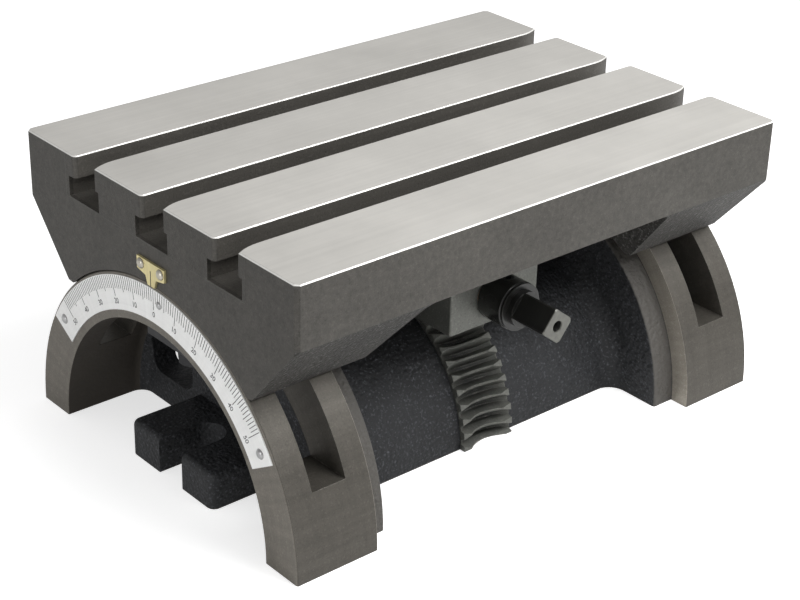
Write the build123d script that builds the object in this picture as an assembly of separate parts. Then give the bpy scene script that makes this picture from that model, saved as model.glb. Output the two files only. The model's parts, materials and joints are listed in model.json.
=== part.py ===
from build123d import *
import math
import os

# Tilting T-slot table on two half-round arches, in millimetres.
# +X runs along the T-slots and is the tilt axis, -Y is the crank side, +Z is up.
# The origin is on the tilt axis, at the middle of the base's underside.

# Table top
table_length = 254.0
table_width = 180.0
side_height = 26.4
crown_cover = 8.9
corner_chamfer = 1.8
top_edge_chamfer = 0.5

# T-slots
slot_pitch = 47.3
slot_neck_width = 12.0
slot_neck_depth = 9.6
slot_head_width = 21.6
slot_head_height = 8.8
flare_radius = 20.0
flare_length = 10.2
mouth_radius = 2.0

# Saddles, which ride on the arches
saddle_clearance = 0.3
saddle_tip_half_width = 63.0
saddle_tip_rise = 0.3
saddle_lip = 3.4
saddle_flank_top = 65.0
saddle_flank_foot = 74.0
saddle_fillet = 5.0

# Arches of the base
arch_radius = 89.9
arch_depth = 19.4
arch_width = 38.7
arch_setback = 0.3
arch_edge_chamfer = 0.6
window_width = 16.0
window_floor = 33.5
window_offset = 0.5

# End walls and barrel
wall_step = 8.9
wall_thickness = 11.0
wall_rib_fillet = 1.2
barrel_radius = 54.7
barrel_bore = 44.7
barrel_fillet = 8.0
bore_fillet = 6.0
rib_bore = 36.0
rib_half_width = 20.0

# Cored opening in each end wall, on the side away from the crank
core_near = 33.0
core_far = 62.0
core_floor = 13.5
core_ceiling = 40.0
core_corner = 6.0
core_run_in = 3.0

# Hold-down lugs
lug_half_width = 28.75
lug_height = 16.0
lug_reach = 34.0
lug_corner = 3.5
lug_edge_fillet = 2.5
hold_down_slot = 16.0
hold_down_slot_depth = 26.0

# Worm and toothed half ring
gear_teeth = 56
gear_pitch_radius = 52.5
worm_pitch_radius = 17.5
tooth_addendum = 1.9
tooth_dedendum = 2.4
gullet_half_width = 1.68
gullet_angle = 22.0
gullet_run_out = 1.5
gullet_swing = 62.0
gullet_pass = 0.9
thread_half_width = 1.05
thread_angle = 20.0
segment_half_width = 13.5
segment_edge_radius = 57.5
segment_seat_radius = 44.5
seat_gap = 0.05
worm_thread_half_length = 20.0
worm_root_half_length = 27.0
thread_sink = 0.4
thread_spare_turns = 0.75

# Worm shaft
shaft_diameter = 15.5
shaft_rear_end = 55.5
shaft_front_end = 93.0
square_across_flats = 11.5
square_length = 18.0
square_turn = 52.0
centre_drill_diameter = 5.0
centre_drill_depth = 5.0
centre_drill_tip = 1.25
shaft_end_chamfer = 0.5
running_gap = 0.05
side_gap = 0.15

# Worm bracket
bracket_width = 48.0
bracket_face = 57.0
bracket_leg = 27.2
bracket_drop = 12.0
bracket_plate_clearance = 1.0
bracket_plate_thickness = 8.7
bracket_ear_reach = 36.0
bracket_ear_half_length = 34.0
bracket_ear_corner = 5.0
bracket_edge_fillet = 1.0
bush_wall = 2.0
press_gap = 0.02
thrust_washer_radius = 13.5

# Collar in front of the bracket
collar_radius = 10.4
collar_length = 13.7
collar_chamfer = 0.6
ring_radius = 10.2
ring_width = 1.2
ring_groove_depth = 0.5

# Bracket fasteners
bracket_screw_diameter = 8.0
bracket_screw_x = 29.0
bracket_screw_y = 23.6
bracket_screw_grip = 14.0
dowel_diameter = 6.0
dowel_depth = 6.0
dowel_chamfer = 0.4
grub_screw_diameter = 5.0
bush_set_screw_recess = 1.5
collar_set_screw_recess = 0.2
hole_gap = 0.1
hole_end_gap = 0.5
cap_head_ratio = 1.6
cap_chamfer_ratio = 0.06
hex_socket_ratio = 0.75

# Toothed ring fasteners
segment_screw_diameter = 6.0
segment_screw_pitches = 9
segment_screw_bite = 5.0
segment_spotface = 0.8
spotface_gap = 0.5

# Scale, pointer and their fasteners
scale_margin = 1.4
scale_width = 14.5
scale_thickness = 0.5
scale_half_angle = 58.5
rivet_angle = 55.0
rivet_inset = 5.5
rivet_diameter = 4.0
rivet_shank = 2.0
rivet_depth = 4.0
rivet_head_ratio = 0.25
round_head_ratio = 0.6
zero_rivet_offset = 3.6
zero_rivet_diameter = 3.0
pointer_width = 18.5
pointer_bar_height = 5.3
pointer_height = 10.1
pointer_tip_gap = 1.5
pointer_tip_width = 4.6
pointer_neck_width = 7.0
pointer_shoulder = 1.2
pointer_thickness = 1.0
pointer_screw_spread = 13.2
pointer_screw_drop = 2.6
pointer_screw_head = 4.3
pointer_screw_head_height = 1.2
pointer_screw_shank = 2.5
pointer_screw_depth = 6.0

# Tilt clamps
clamp_screw_diameter = 10.0
clamp_screw_entry = 13.5
clamp_shoe_length = 25.0
clamp_shoe_width = 34.0
clamp_shoe_depth = 10.5
clamp_key_clearance = 0.4
clamp_key_width = 20.0
clamp_key_rise = 7.5
clamp_washer_diameter = 20.0
clamp_washer_thickness = 2.0
clamp_head_flats = 16.0
clamp_head_height = 6.4
clamp_head_blank = 18.6
clamp_head_chamfer = 1.0
clamp_tip_chamfer = 1.0

# Working values of the model: how far a cutter runs past a face, and how near an edge is looked for
overcut = 1.0
near = 0.1

# Sizes that follow from those above
half_length = table_length / 2
half_width = table_width / 2
saddle_radius = arch_radius + saddle_clearance
saddle_lip_half_width = saddle_tip_half_width - saddle_lip
saddle_lip_height = math.sqrt(saddle_radius**2 - saddle_lip_half_width**2)
saddle_tip_height = saddle_lip_height + saddle_tip_rise
arch_bore = arch_radius - arch_depth
wall_radius = arch_radius - wall_step
clamp_shoe_floor = arch_bore - clamp_shoe_depth
clamp_key_top = arch_bore + clamp_key_rise
arch_face = half_length - arch_setback
arch_back = arch_face - arch_width
wall_inner_face = arch_back - wall_thickness
window_centre = (arch_face + arch_back) / 2 - window_offset
worm_height = gear_pitch_radius + worm_pitch_radius
worm_lead = 2 * math.pi * gear_pitch_radius / gear_teeth
worm_outer_radius = worm_pitch_radius + tooth_addendum
worm_root_radius = worm_pitch_radius - tooth_dedendum
lead_angle = math.degrees(math.atan2(worm_lead, 2 * math.pi * worm_pitch_radius))
tooth_step = 360 / gear_teeth
segment_screw_seat = rib_bore + segment_spotface
shaft_radius = shaft_diameter / 2
leg_inner_face = bracket_face - bracket_leg
bush_radius = shaft_radius + bush_wall
bracket_underside = worm_height - bracket_drop
bracket_plate_floor = worm_height + worm_outer_radius + bracket_plate_clearance
table_underside = max(saddle_radius + crown_cover, bracket_plate_floor + bracket_plate_thickness)
table_height = table_underside + side_height
slot_floor = table_height - slot_neck_depth - slot_head_height
collar_rear = -bracket_face - side_gap
collar_front = collar_rear - collar_length
ring_front = collar_front - ring_width
scale_outer_radius = arch_radius - scale_margin
scale_inner_radius = scale_outer_radius - scale_width
rivet_radius = scale_outer_radius - rivet_inset
pointer_tip = scale_outer_radius + pointer_tip_gap
pointer_top = pointer_tip + pointer_height
pointer_screw_height = pointer_top - pointer_screw_drop


def block(x_low, x_high, y_low, y_high, z_low, z_high):
    """A box between two corners."""
    centre = ((x_low + x_high) / 2, (y_low + y_high) / 2, (z_low + z_high) / 2)
    return Pos(*centre) * Box(x_high - x_low, y_high - y_low, z_high - z_low)


def rod_x(radius, x_low, x_high, y=0.0, z=0.0):
    """A cylinder along X."""
    return Pos((x_low + x_high) / 2, y, z) * Rot(0, 90, 0) * Cylinder(radius, x_high - x_low)


def rod_y(radius, y_low, y_high, x=0.0, z=0.0):
    """A cylinder along Y."""
    return Pos(x, (y_low + y_high) / 2, z) * Rot(90, 0, 0) * Cylinder(radius, y_high - y_low)


def rod_z(radius, z_low, z_high, x=0.0, y=0.0):
    """A cylinder along Z."""
    return Pos(x, y, (z_low + z_high) / 2) * Cylinder(radius, z_high - z_low)


def half_disc(radius, x_low, x_high):
    """The upper half of a disc on the tilt axis."""
    return rod_x(radius, x_low, x_high) & block(x_low, x_high, -radius, radius, 0, radius)


def at_both_ends(shape):
    """The shape and its mirror image at the other end of the table."""
    return shape + mirror(shape, about=Plane.YZ)


def cap_screw(diameter, length):
    """A socket cap screw with its shank along +Z and its head below zero."""
    head_radius = diameter * cap_head_ratio / 2
    head = rod_z(head_radius, -diameter, 0)
    head = chamfer(head.edges().group_by(Axis.Z)[0], diameter * cap_chamfer_ratio)
    socket = extrude(hexagon(diameter * hex_socket_ratio), amount=diameter / 2)
    return head + rod_z(diameter / 2, 0, length) - Pos(0, 0, -diameter) * socket


def hexagon(across_flats):
    """A hexagon, by its width across flats."""
    return RegularPolygon(across_flats / 2, 6, major_radius=False)


# Table casting

def saddle_profile():
    """End view of the table below its plate: sloping cheeks and a concave seat."""
    lip = (saddle_lip_half_width, saddle_lip_height)
    cheek_points = [(half_width, table_underside)]
    cheek_points += [(saddle_tip_half_width, saddle_tip_height), lip]
    far_points = [(-y, z) for y, z in reversed(cheek_points)]
    outline = Polyline(*cheek_points)
    outline += ThreePointArc(lip, (0, saddle_radius), far_points[0])
    outline += Polyline(*far_points)
    outline += Line(far_points[-1], cheek_points[0])
    return make_face(outline)


def saddle():
    """One saddle, at the +X end, with its sloping inner flank."""
    profile = Plane.YZ.offset(saddle_flank_top) * saddle_profile()
    body = extrude(profile, amount=half_length - saddle_flank_top)
    flank = [
        (saddle_flank_top, table_underside),
        (half_length, table_underside),
        (half_length, saddle_tip_height - saddle_lip),
        (saddle_flank_foot, saddle_tip_height - saddle_lip),
    ]
    return body & extrude(Plane.XZ * make_face(Polyline(*flank, close=True)), amount=half_width, both=True)


def slot_mouth(radius, length):
    """Plan of the metal taken off where a slot's wall rounds into the end face, at +X and +Y."""
    wall = slot_neck_width / 2
    start = half_length - length
    depth = radius - math.sqrt(radius**2 - length**2)
    corner = Pos(start + length / 2, wall + depth / 2) * Rectangle(length, depth)
    return corner - Pos(start, wall + radius) * Circle(radius)


def slot_neck():
    """Plan of one slot's neck: the -Y wall flares at the -X end and the +Y wall at the +X end."""
    plan = Rectangle(table_length, slot_neck_width)
    half_plan = slot_mouth(flare_radius, flare_length)
    half_plan += mirror(slot_mouth(mouth_radius, mouth_radius), about=Plane.XZ)
    return plan + half_plan + Rot(0, 0, 180) * half_plan


def table_casting():
    """Plate, saddles, T-slots and the holes for what is fastened to it."""
    body = block(-half_length, half_length, -half_width, half_width, table_underside, table_height)
    body += at_both_ends(saddle())
    edges = body.edges().filter_by(Axis.Y)
    edges = [edge for edge in edges if abs(edge.center().Z - table_underside) < near]
    junction = [edge for edge in edges if abs(abs(edge.center().X) - saddle_flank_top) < near]
    body = fillet(junction, saddle_fillet)
    corners = body.edges().filter_by(Axis.Z).filter_by_position(Axis.Z, table_underside, table_height)
    body = chamfer(corners, corner_chamfer)
    neck = extrude(Pos(0, 0, slot_floor + slot_head_height) * slot_neck(), amount=slot_neck_depth)
    half_head = slot_head_width / 2
    head = block(-half_length, half_length, -half_head, half_head, slot_floor, slot_floor + slot_head_height)
    for row in (-1, 0, 1):
        body -= Pos(0, row * slot_pitch, 0) * (neck + head)
    top = body.faces().filter_by(Axis.Z).group_by(Axis.Z)[-1]
    body = chamfer(top.edges(), top_edge_chamfer)
    tapped_radius = bracket_screw_diameter / 2 + hole_gap
    tapped_end = table_underside + bracket_screw_grip + hole_end_gap
    dowel_end = table_underside + dowel_depth + hole_end_gap
    for x in (-bracket_screw_x, bracket_screw_x):
        for y in (-bracket_screw_y, bracket_screw_y):
            body -= rod_z(tapped_radius, table_underside - overcut, tapped_end, x, y)
        body -= rod_z(dowel_diameter / 2 + press_gap, table_underside - overcut, dowel_end, x)
    clamp_radius = clamp_screw_diameter / 2 + running_gap
    clamp_hole_end = saddle_radius + clamp_screw_entry + hole_end_gap
    for x in (-window_centre, window_centre):
        body -= rod_z(clamp_radius, saddle_radius - overcut, clamp_hole_end, x)
    pointer_hole_end = -half_length + pointer_screw_depth + hole_end_gap
    for y in (-pointer_screw_spread / 2, pointer_screw_spread / 2):
        hole = rod_x(pointer_screw_shank / 2 + press_gap, -half_length - overcut, pointer_hole_end)
        body -= Pos(0, y, pointer_screw_height) * hole
    return body


# Base casting

def arch():
    """One arch, at the +X end, with its clamp window open to both sides."""
    ring = half_disc(arch_radius, arch_back, arch_face) - rod_x(arch_bore, arch_back, arch_face)
    outer = [edge for edge in ring.edges().filter_by(GeomType.CIRCLE) if edge.radius > arch_radius - near]
    ring = chamfer([edge for edge in outer if edge.center().X > window_centre], arch_edge_chamfer)
    half_window = window_width / 2
    return ring - block(
        window_centre - half_window,
        window_centre + half_window,
        -arch_radius - overcut,
        arch_radius + overcut,
        window_floor,
        arch_radius + overcut,
    )


def lug():
    """The forked hold-down lug inside one arch, at the +X end."""
    reach = arch_back + lug_reach
    body = block(arch_back - overcut, reach, -lug_half_width, lug_half_width, 0, lug_height)
    front = [edge for edge in body.edges().filter_by(Axis.Z) if edge.center().X > arch_back]
    body = fillet(front, lug_corner)
    body = fillet(body.faces().sort_by(Axis.Z)[-1].edges().sort_by(Axis.X)[1:], lug_edge_fillet)
    half_slot = hold_down_slot / 2
    slot_end = reach - hold_down_slot_depth + half_slot
    body -= block(slot_end, reach + overcut, -half_slot, half_slot, -overcut, lug_height + overcut)
    return body - rod_z(half_slot, -overcut, lug_height + overcut, slot_end)


def core_opening():
    """The rounded opening through one end wall, with the fillet behind it trimmed, at the +X end."""
    plan = RectangleRounded(core_far - core_near, core_ceiling - core_floor, core_corner)
    plan = Plane.YZ * Pos((core_near + core_far) / 2, (core_floor + core_ceiling) / 2) * plan
    start = wall_inner_face - core_run_in
    opening = Pos(start, 0, 0) * extrude(plan, amount=wall_thickness + core_run_in + overcut)
    trim_start = wall_inner_face - barrel_fillet
    trim = Pos(trim_start, 0, 0) * extrude(plan, amount=barrel_fillet)
    return opening + (trim - rod_x(barrel_radius + near, trim_start, wall_inner_face))


def base_casting():
    """Arches, end walls, barrel and lugs in one casting."""
    walls = at_both_ends(half_disc(wall_radius, wall_inner_face, arch_back))
    body = walls + half_disc(barrel_radius, -wall_inner_face, wall_inner_face)
    rounds = body.edges().filter_by(GeomType.CIRCLE)
    inner_rounds = [edge for edge in rounds if abs(abs(edge.center().X) - wall_inner_face) < near]
    body = fillet([edge for edge in inner_rounds if abs(edge.radius - barrel_radius) < near], barrel_fillet)
    rounds = body.edges().filter_by(GeomType.CIRCLE)
    rims = [edge for edge in rounds if abs(edge.radius - wall_radius) < near]
    inner_rims = [edge for edge in rims if abs(abs(edge.center().X) - wall_inner_face) < near]
    body = fillet(inner_rims, wall_rib_fillet)
    body += at_both_ends(arch())
    rounds = body.edges().filter_by(GeomType.CIRCLE)
    bores = [edge for edge in rounds if abs(edge.radius - arch_bore) < near]
    body = fillet([edge for edge in bores if abs(abs(edge.center().X) - arch_back) < near], bore_fillet)
    body += at_both_ends(lug())
    hollow = rod_x(barrel_bore, rib_half_width, wall_inner_face)
    body -= at_both_ends(hollow) + rod_x(rib_bore, -rib_half_width, rib_half_width)
    body -= at_both_ends(core_opening())
    seat = segment_half_width + seat_gap
    seat_core = rod_x(segment_seat_radius - seat_gap, -seat, seat)
    body -= rod_x(segment_edge_radius + overcut, -seat, seat) - seat_core
    hole = rod_z(segment_screw_diameter / 2 + hole_gap, rib_bore - overcut, segment_seat_radius)
    spotface_radius = segment_screw_diameter * cap_head_ratio / 2 + spotface_gap
    spotface = rod_z(spotface_radius, rib_bore - overcut, segment_screw_seat)
    for angle in segment_screw_angles():
        body -= Rot(angle, 0, 0) * (hole + spotface)
    rivet_hole_end = -arch_face + rivet_depth + hole_end_gap
    rivet_hole = rod_x(rivet_shank / 2 + press_gap, -arch_face - overcut, rivet_hole_end)
    for angle, radius, diameter in rivet_places():
        body -= Rot(angle, 0, 0) * Pos(0, 0, radius) * rivet_hole
    return body


# Toothed half ring

def segment_screw_angles():
    """Angles from the top, each under the crest of a tooth."""
    return [tooth_step * segment_screw_pitches * step for step in (-1, 0, 1)]


def gullet_cutter():
    """The space of one tooth at the top of the ring, cut at two places of the worm thread's pass."""
    slope = math.tan(math.radians(gullet_angle))
    floor = worm_pitch_radius + tooth_dedendum
    mouth = worm_pitch_radius - tooth_addendum - gullet_run_out
    floor_half = gullet_half_width - tooth_dedendum * slope
    mouth_half = gullet_half_width + (worm_pitch_radius - mouth) * slope
    section = [(-mouth_half, -mouth), (mouth_half, -mouth), (floor_half, -floor), (-floor_half, -floor)]
    face = Plane.YZ * make_face(Polyline(*section, close=True))
    ring = Rot(0, 0, -lead_angle) * Rot(0, -gullet_swing, 0) * revolve(face, Axis.Y, 2 * gullet_swing)
    travel = gullet_pass * worm_lead
    turn = math.degrees(travel / gear_pitch_radius)
    entering = Rot(-turn, 0, 0) * Pos(0, -travel, worm_height) * ring
    leaving = Rot(turn, 0, 0) * Pos(0, travel, worm_height) * ring
    return entering + leaving


def gear_segment():
    """Half ring with a throat that the worm lies in and a gullet at every tooth space."""
    ring = half_disc(segment_edge_radius, -segment_half_width, segment_half_width)
    ring -= rod_x(segment_seat_radius, -segment_half_width, segment_half_width)
    throat_radius = worm_pitch_radius - tooth_addendum
    throat = revolve(Plane.XZ * Pos(0, worm_height) * Circle(throat_radius), Axis.X, 360)
    ring -= throat
    cutter = gullet_cutter()
    gullets = gear_teeth // 2
    cutters = [Rot(90 - (step + 0.5) * tooth_step, 0, 0) * cutter for step in range(gullets)]
    ring = ring - cutters
    hole_end = segment_seat_radius + segment_screw_bite + hole_end_gap
    hole = rod_z(segment_screw_diameter / 2 + hole_gap, segment_seat_radius - overcut, hole_end)
    for angle in segment_screw_angles():
        ring -= Rot(angle, 0, 0) * hole
    return ring


def segment_screws():
    """Cap screws that hold the ring from inside the barrel."""
    screw = cap_screw(segment_screw_diameter, segment_seat_radius - segment_screw_seat + segment_screw_bite)
    return [Rot(angle, 0, 0) * Pos(0, 0, segment_screw_seat) * screw for angle in segment_screw_angles()]


# Scale and pointer

def rivet_places():
    """Angle from the top, radius and head diameter of each scale rivet."""
    zero_angle = math.degrees(zero_rivet_offset / rivet_radius)
    return [
        (-rivet_angle, rivet_radius, rivet_diameter),
        (zero_angle, rivet_radius, zero_rivet_diameter),
        (rivet_angle, rivet_radius, rivet_diameter),
    ]


def scale_plate():
    """Curved strip on the outer face of the -X arch."""
    ring = rod_x(scale_outer_radius, -arch_face - scale_thickness, -arch_face)
    ring -= rod_x(scale_inner_radius, -arch_face - scale_thickness, -arch_face)
    reach = 2 * scale_outer_radius
    angle = math.radians(scale_half_angle)
    wedge = [(0, 0), (reach * math.sin(angle), reach * math.cos(angle)), (0, reach * 2)]
    wedge.append((-wedge[1][0], wedge[1][1]))
    sector = extrude(Plane.YZ * make_face(Polyline(*wedge, close=True)), amount=half_length, both=True)
    plate = ring & Pos(-half_length, 0, 0) * sector
    for angle, radius, diameter in rivet_places():
        hole = rod_x(rivet_shank / 2 + press_gap, -half_length - overcut, -arch_face + overcut, 0, radius)
        plate -= Rot(angle, 0, 0) * hole
    return plate


def round_head(diameter, height, shank_diameter, shank_length):
    """A fastener with a low round head, chamfered all round, and its shank along +X."""
    head = rod_x(diameter / 2, -height, 0)
    head = chamfer(head.edges().group_by(Axis.X)[0], height * round_head_ratio)
    return head + rod_x(shank_diameter / 2, 0, shank_length)


def scale_rivets():
    """Three round-head rivets."""
    rivets = []
    for angle, radius, diameter in rivet_places():
        rivet = round_head(diameter, diameter * rivet_head_ratio, rivet_shank, rivet_depth + scale_thickness)
        rivets.append(Rot(angle, 0, 0) * Pos(-arch_face - scale_thickness, 0, radius) * rivet)
    return rivets


def pointer_plate():
    """T-shaped index on the table's end face."""
    half_bar = pointer_width / 2
    half_neck = pointer_neck_width / 2
    half_tip = pointer_tip_width / 2
    bar_floor = pointer_top - pointer_bar_height
    side = [(half_bar, pointer_top), (half_bar, bar_floor)]
    side += [(half_neck, bar_floor - pointer_shoulder), (half_tip, pointer_tip)]
    outline = side + [(-y, z) for y, z in reversed(side)]
    face = make_face(Polyline(*outline, close=True))
    plate = extrude(Plane.YZ.offset(-half_length) * face, amount=-pointer_thickness)
    hole = rod_x(pointer_screw_shank / 2 + press_gap, -half_length - pointer_thickness, -half_length)
    for y in (-pointer_screw_spread / 2, pointer_screw_spread / 2):
        plate -= Pos(0, y, pointer_screw_height) * hole
    return plate


def pointer_screws():
    """Two small round-head screws."""
    length = pointer_screw_depth + pointer_thickness
    screw = round_head(pointer_screw_head, pointer_screw_head_height, pointer_screw_shank, length)
    x = -half_length - pointer_thickness
    return [Pos(x, side * pointer_screw_spread / 2, pointer_screw_height) * screw for side in (-1, 1)]


# Worm bracket and its fasteners

def worm_bracket():
    """U-shaped block: a plate under the table and two legs with the shaft's bores."""
    half = bracket_width / 2
    body = block(-half, half, -bracket_face, bracket_face, bracket_underside, table_underside)
    inner = leg_inner_face
    body -= block(-half, half, -inner, inner, bracket_underside, bracket_plate_floor)
    upright = body.edges().filter_by(Axis.Z)
    corners = [edge for edge in upright if abs(edge.center().Y) > bracket_face - near]
    body = fillet(corners, bracket_edge_fillet)
    ears = extrude(
        RectangleRounded(2 * bracket_ear_reach, 2 * bracket_ear_half_length, bracket_ear_corner),
        amount=table_underside - bracket_plate_floor,
    )
    body += Pos(0, 0, bracket_plate_floor) * ears
    hole_top = table_underside + overcut
    screw_hole = bracket_screw_diameter / 2 + hole_gap
    body -= rod_y(bush_radius + press_gap, -bracket_face - overcut, bracket_face + overcut, 0, worm_height)
    for x in (-bracket_screw_x, bracket_screw_x):
        for y in (-bracket_screw_y, bracket_screw_y):
            body -= rod_z(screw_hole, bracket_underside, hole_top, x, y)
        body -= rod_z(dowel_diameter / 2 + press_gap, bracket_underside, hole_top, x)
    for y in bush_centres():
        body -= rod_x(grub_screw_diameter / 2 + hole_gap, -half - overcut, -bush_radius, y, worm_height)
    return body


def bush_centres():
    """Where the two bushes are along the shaft."""
    centre = (bracket_face + leg_inner_face) / 2
    return (-centre, centre)


def bracket_screws():
    """Four cap screws from below, into the plate between the T-slots."""
    length = table_underside - bracket_plate_floor + bracket_screw_grip
    screw = Pos(0, 0, bracket_plate_floor) * cap_screw(bracket_screw_diameter, length)
    pair = [Pos(0, y, 0) * screw for y in (-bracket_screw_y, bracket_screw_y)]
    return [Pos(x, 0, 0) * item for x in (-bracket_screw_x, bracket_screw_x) for item in pair]


def bracket_dowels():
    """Two dowels that place the bracket."""
    pin = rod_z(dowel_diameter / 2, bracket_plate_floor, table_underside + dowel_depth)
    pin = chamfer(pin.edges().filter_by(GeomType.CIRCLE), dowel_chamfer)
    return [Pos(x, 0, 0) * pin for x in (-bracket_screw_x, bracket_screw_x)]


def bush(y_centre):
    """A plain bush, flush with both faces of its leg."""
    low = y_centre - bracket_leg / 2
    high = y_centre + bracket_leg / 2
    sleeve = rod_y(bush_radius, low, high, 0, worm_height)
    return sleeve - rod_y(shaft_radius + running_gap, low, high, 0, worm_height)


def grub_screw(length):
    """A grub screw along +X, with its socket at x = 0."""
    body = rod_x(grub_screw_diameter / 2, 0, length)
    socket = extrude(Plane.YZ * hexagon(grub_screw_diameter / 2), amount=grub_screw_diameter / 2)
    return body - socket


def bush_set_screws():
    """Grub screws from the bracket's -X side, one against each bush."""
    x = -bracket_width / 2 + bush_set_screw_recess
    screw = grub_screw(-bush_radius - x - seat_gap)
    return [Pos(x, y, worm_height) * screw for y in bush_centres()]


# Worm shaft and what turns with it

def worm_thread():
    """One right-hand thread, cut square at both ends."""
    turns_each_way = math.ceil(worm_thread_half_length / worm_lead) + thread_spare_turns
    reach = turns_each_way * worm_lead
    path = Pos(0, 0, -reach) * Helix(worm_lead, 2 * reach, worm_pitch_radius)
    slope = math.tan(math.radians(thread_angle))
    foot = -tooth_dedendum - thread_sink
    foot_half = thread_half_width - foot * slope
    crest_half = thread_half_width - tooth_addendum * slope
    section = [(foot, -foot_half), (foot, foot_half)]
    section += [(tooth_addendum, crest_half), (tooth_addendum, -crest_half)]
    start = Plane(origin=path @ 0, x_dir=(1, 0, 0), z_dir=path % 0)
    thread = sweep(start * make_face(Polyline(*section, close=True)), path=path, is_frenet=True)
    thread = Rot(-90, 0, 0) * thread
    half = worm_thread_half_length
    reach = 2 * worm_outer_radius
    return thread & block(-reach, reach, -half, half, -reach, reach)


def worm_shaft():
    """Shaft, worm thread, ring groove and the square for the crank."""
    body = rod_y(shaft_radius, -shaft_front_end, shaft_rear_end)
    body = chamfer(body.edges().filter_by(GeomType.CIRCLE), shaft_end_chamfer)
    body += rod_y(worm_root_radius, -worm_root_half_length, worm_root_half_length)
    body += worm_thread()
    groove = rod_y(shaft_radius + overcut, ring_front - running_gap, collar_front)
    body -= groove - rod_y(shaft_radius - ring_groove_depth, ring_front - running_gap, collar_front)
    square_start = -shaft_front_end + square_length
    square = Rot(0, -square_turn, 0) * Box(square_across_flats, 2 * square_length, square_across_flats)
    sleeve = rod_y(shaft_radius + overcut, -shaft_front_end - overcut, square_start)
    body -= sleeve - Pos(0, square_start - square_length, 0) * square
    drill = Pos(0, -shaft_front_end + centre_drill_depth / 2, 0) * Rot(-90, 0, 0)
    body -= drill * Cone(centre_drill_diameter / 2, centre_drill_tip / 2, centre_drill_depth)
    return Pos(0, 0, worm_height) * body


def thrust_washer(side):
    """A thrust washer between the worm and a leg of the bracket, on side -1 or 1."""
    low = worm_root_half_length + side_gap
    high = leg_inner_face - side_gap
    washer = rod_y(thrust_washer_radius, low, high) - rod_y(shaft_radius + running_gap, low, high)
    if side < 0:
        washer = mirror(washer, about=Plane.XZ)
    return Pos(0, 0, worm_height) * washer


def shaft_collar():
    """Collar that keeps the shaft against the front leg."""
    body = rod_y(collar_radius, collar_front, collar_rear)
    body = chamfer(body.edges().filter_by(GeomType.CIRCLE), collar_chamfer)
    body -= rod_y(shaft_radius + press_gap, collar_front, collar_rear)
    middle = (collar_front + collar_rear) / 2
    body -= rod_z(grub_screw_diameter / 2 + hole_gap, 0, collar_radius + overcut, 0, middle)
    return Pos(0, 0, worm_height) * body


def collar_set_screw():
    """Grub screw that locks the collar to the shaft."""
    length = collar_radius - shaft_radius - seat_gap - collar_set_screw_recess
    screw = Rot(0, 90, 0) * grub_screw(length)
    middle = (collar_front + collar_rear) / 2
    return Pos(0, middle, worm_height + collar_radius - collar_set_screw_recess) * screw


def retaining_ring():
    """Thin ring in the shaft's groove, in front of the collar."""
    ring = rod_y(ring_radius, ring_front, collar_front - running_gap)
    ring -= rod_y(shaft_radius - ring_groove_depth + press_gap, ring_front, collar_front)
    return Pos(0, 0, worm_height) * ring


# Tilt clamps

def clamp_shoe(x):
    """Curved shoe under the crown of an arch, with a key in the window."""
    half_x = clamp_shoe_length / 2
    half_y = clamp_shoe_width / 2
    pad_radius = arch_bore - saddle_clearance
    body = rod_x(pad_radius, x - half_x, x + half_x)
    body &= block(x - half_x, x + half_x, -half_y, half_y, clamp_shoe_floor, pad_radius)
    key = window_width / 2 - clamp_key_clearance
    half_key = clamp_key_width / 2
    body += block(x - key, x + key, -half_key, half_key, clamp_shoe_floor, clamp_key_top)
    hole_radius = clamp_screw_diameter / 2 + running_gap
    return body - rod_z(hole_radius, clamp_shoe_floor - overcut, clamp_key_top + overcut, x)


def clamp_washer(x):
    """Flat washer under the shoe."""
    low = clamp_shoe_floor - clamp_washer_thickness
    ring = rod_z(clamp_washer_diameter / 2, low, clamp_shoe_floor, x)
    return ring - rod_z(clamp_screw_diameter / 2 + running_gap, low, clamp_shoe_floor, x)


def clamp_screw(x):
    """Hexagon screw from inside the arch, up through the window, into the saddle."""
    head_top = clamp_shoe_floor - clamp_washer_thickness
    head_floor = head_top - clamp_head_height
    head = extrude(Pos(0, 0, head_floor) * hexagon(clamp_head_flats), amount=clamp_head_height)
    blank = rod_z(clamp_head_blank / 2, head_floor, head_top)
    head &= chamfer(blank.edges().group_by(Axis.Z)[0], clamp_head_chamfer)
    shank = rod_z(clamp_screw_diameter / 2, head_top, saddle_radius + clamp_screw_entry)
    shank = chamfer(shank.edges().group_by(Axis.Z)[-1], clamp_tip_chamfer)
    return Pos(x, 0, 0) * (head + shank)


def write_part(name, shape):
    """One STEP file for one node, with each separate solid on its own."""
    solids = []
    for item in shape if isinstance(shape, list) else [shape]:
        solids += item.solids()
    result = solids[0] if len(solids) == 1 else Compound(children=solids)
    export_step(result, f"parts/{name}.step")


os.makedirs("parts", exist_ok=True)
write_part("base_casting", base_casting())
write_part("gear_segment", gear_segment())
write_part("segment_screws", segment_screws())
write_part("scale_plate", scale_plate())
write_part("scale_rivets", scale_rivets())
write_part("table_casting", table_casting())
write_part("pointer_plate", pointer_plate())
write_part("pointer_screws", pointer_screws())
write_part("worm_bracket", worm_bracket())
write_part("bracket_screws", bracket_screws())
write_part("bracket_dowels", bracket_dowels())
write_part("front_bush", bush(bush_centres()[0]))
write_part("rear_bush", bush(bush_centres()[1]))
write_part("bush_set_screws", bush_set_screws())
write_part("worm_shaft", worm_shaft())
write_part("front_thrust_washer", thrust_washer(-1))
write_part("rear_thrust_washer", thrust_washer(1))
write_part("shaft_collar", shaft_collar())
write_part("collar_set_screw", collar_set_screw())
write_part("retaining_ring", retaining_ring())
for side, x in (("left", -window_centre), ("right", window_centre)):
    write_part(f"{side}_clamp_screw", clamp_screw(x))
    write_part(f"{side}_clamp_washer", clamp_washer(x))
    write_part(f"{side}_clamp_shoe", clamp_shoe(x))
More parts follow.
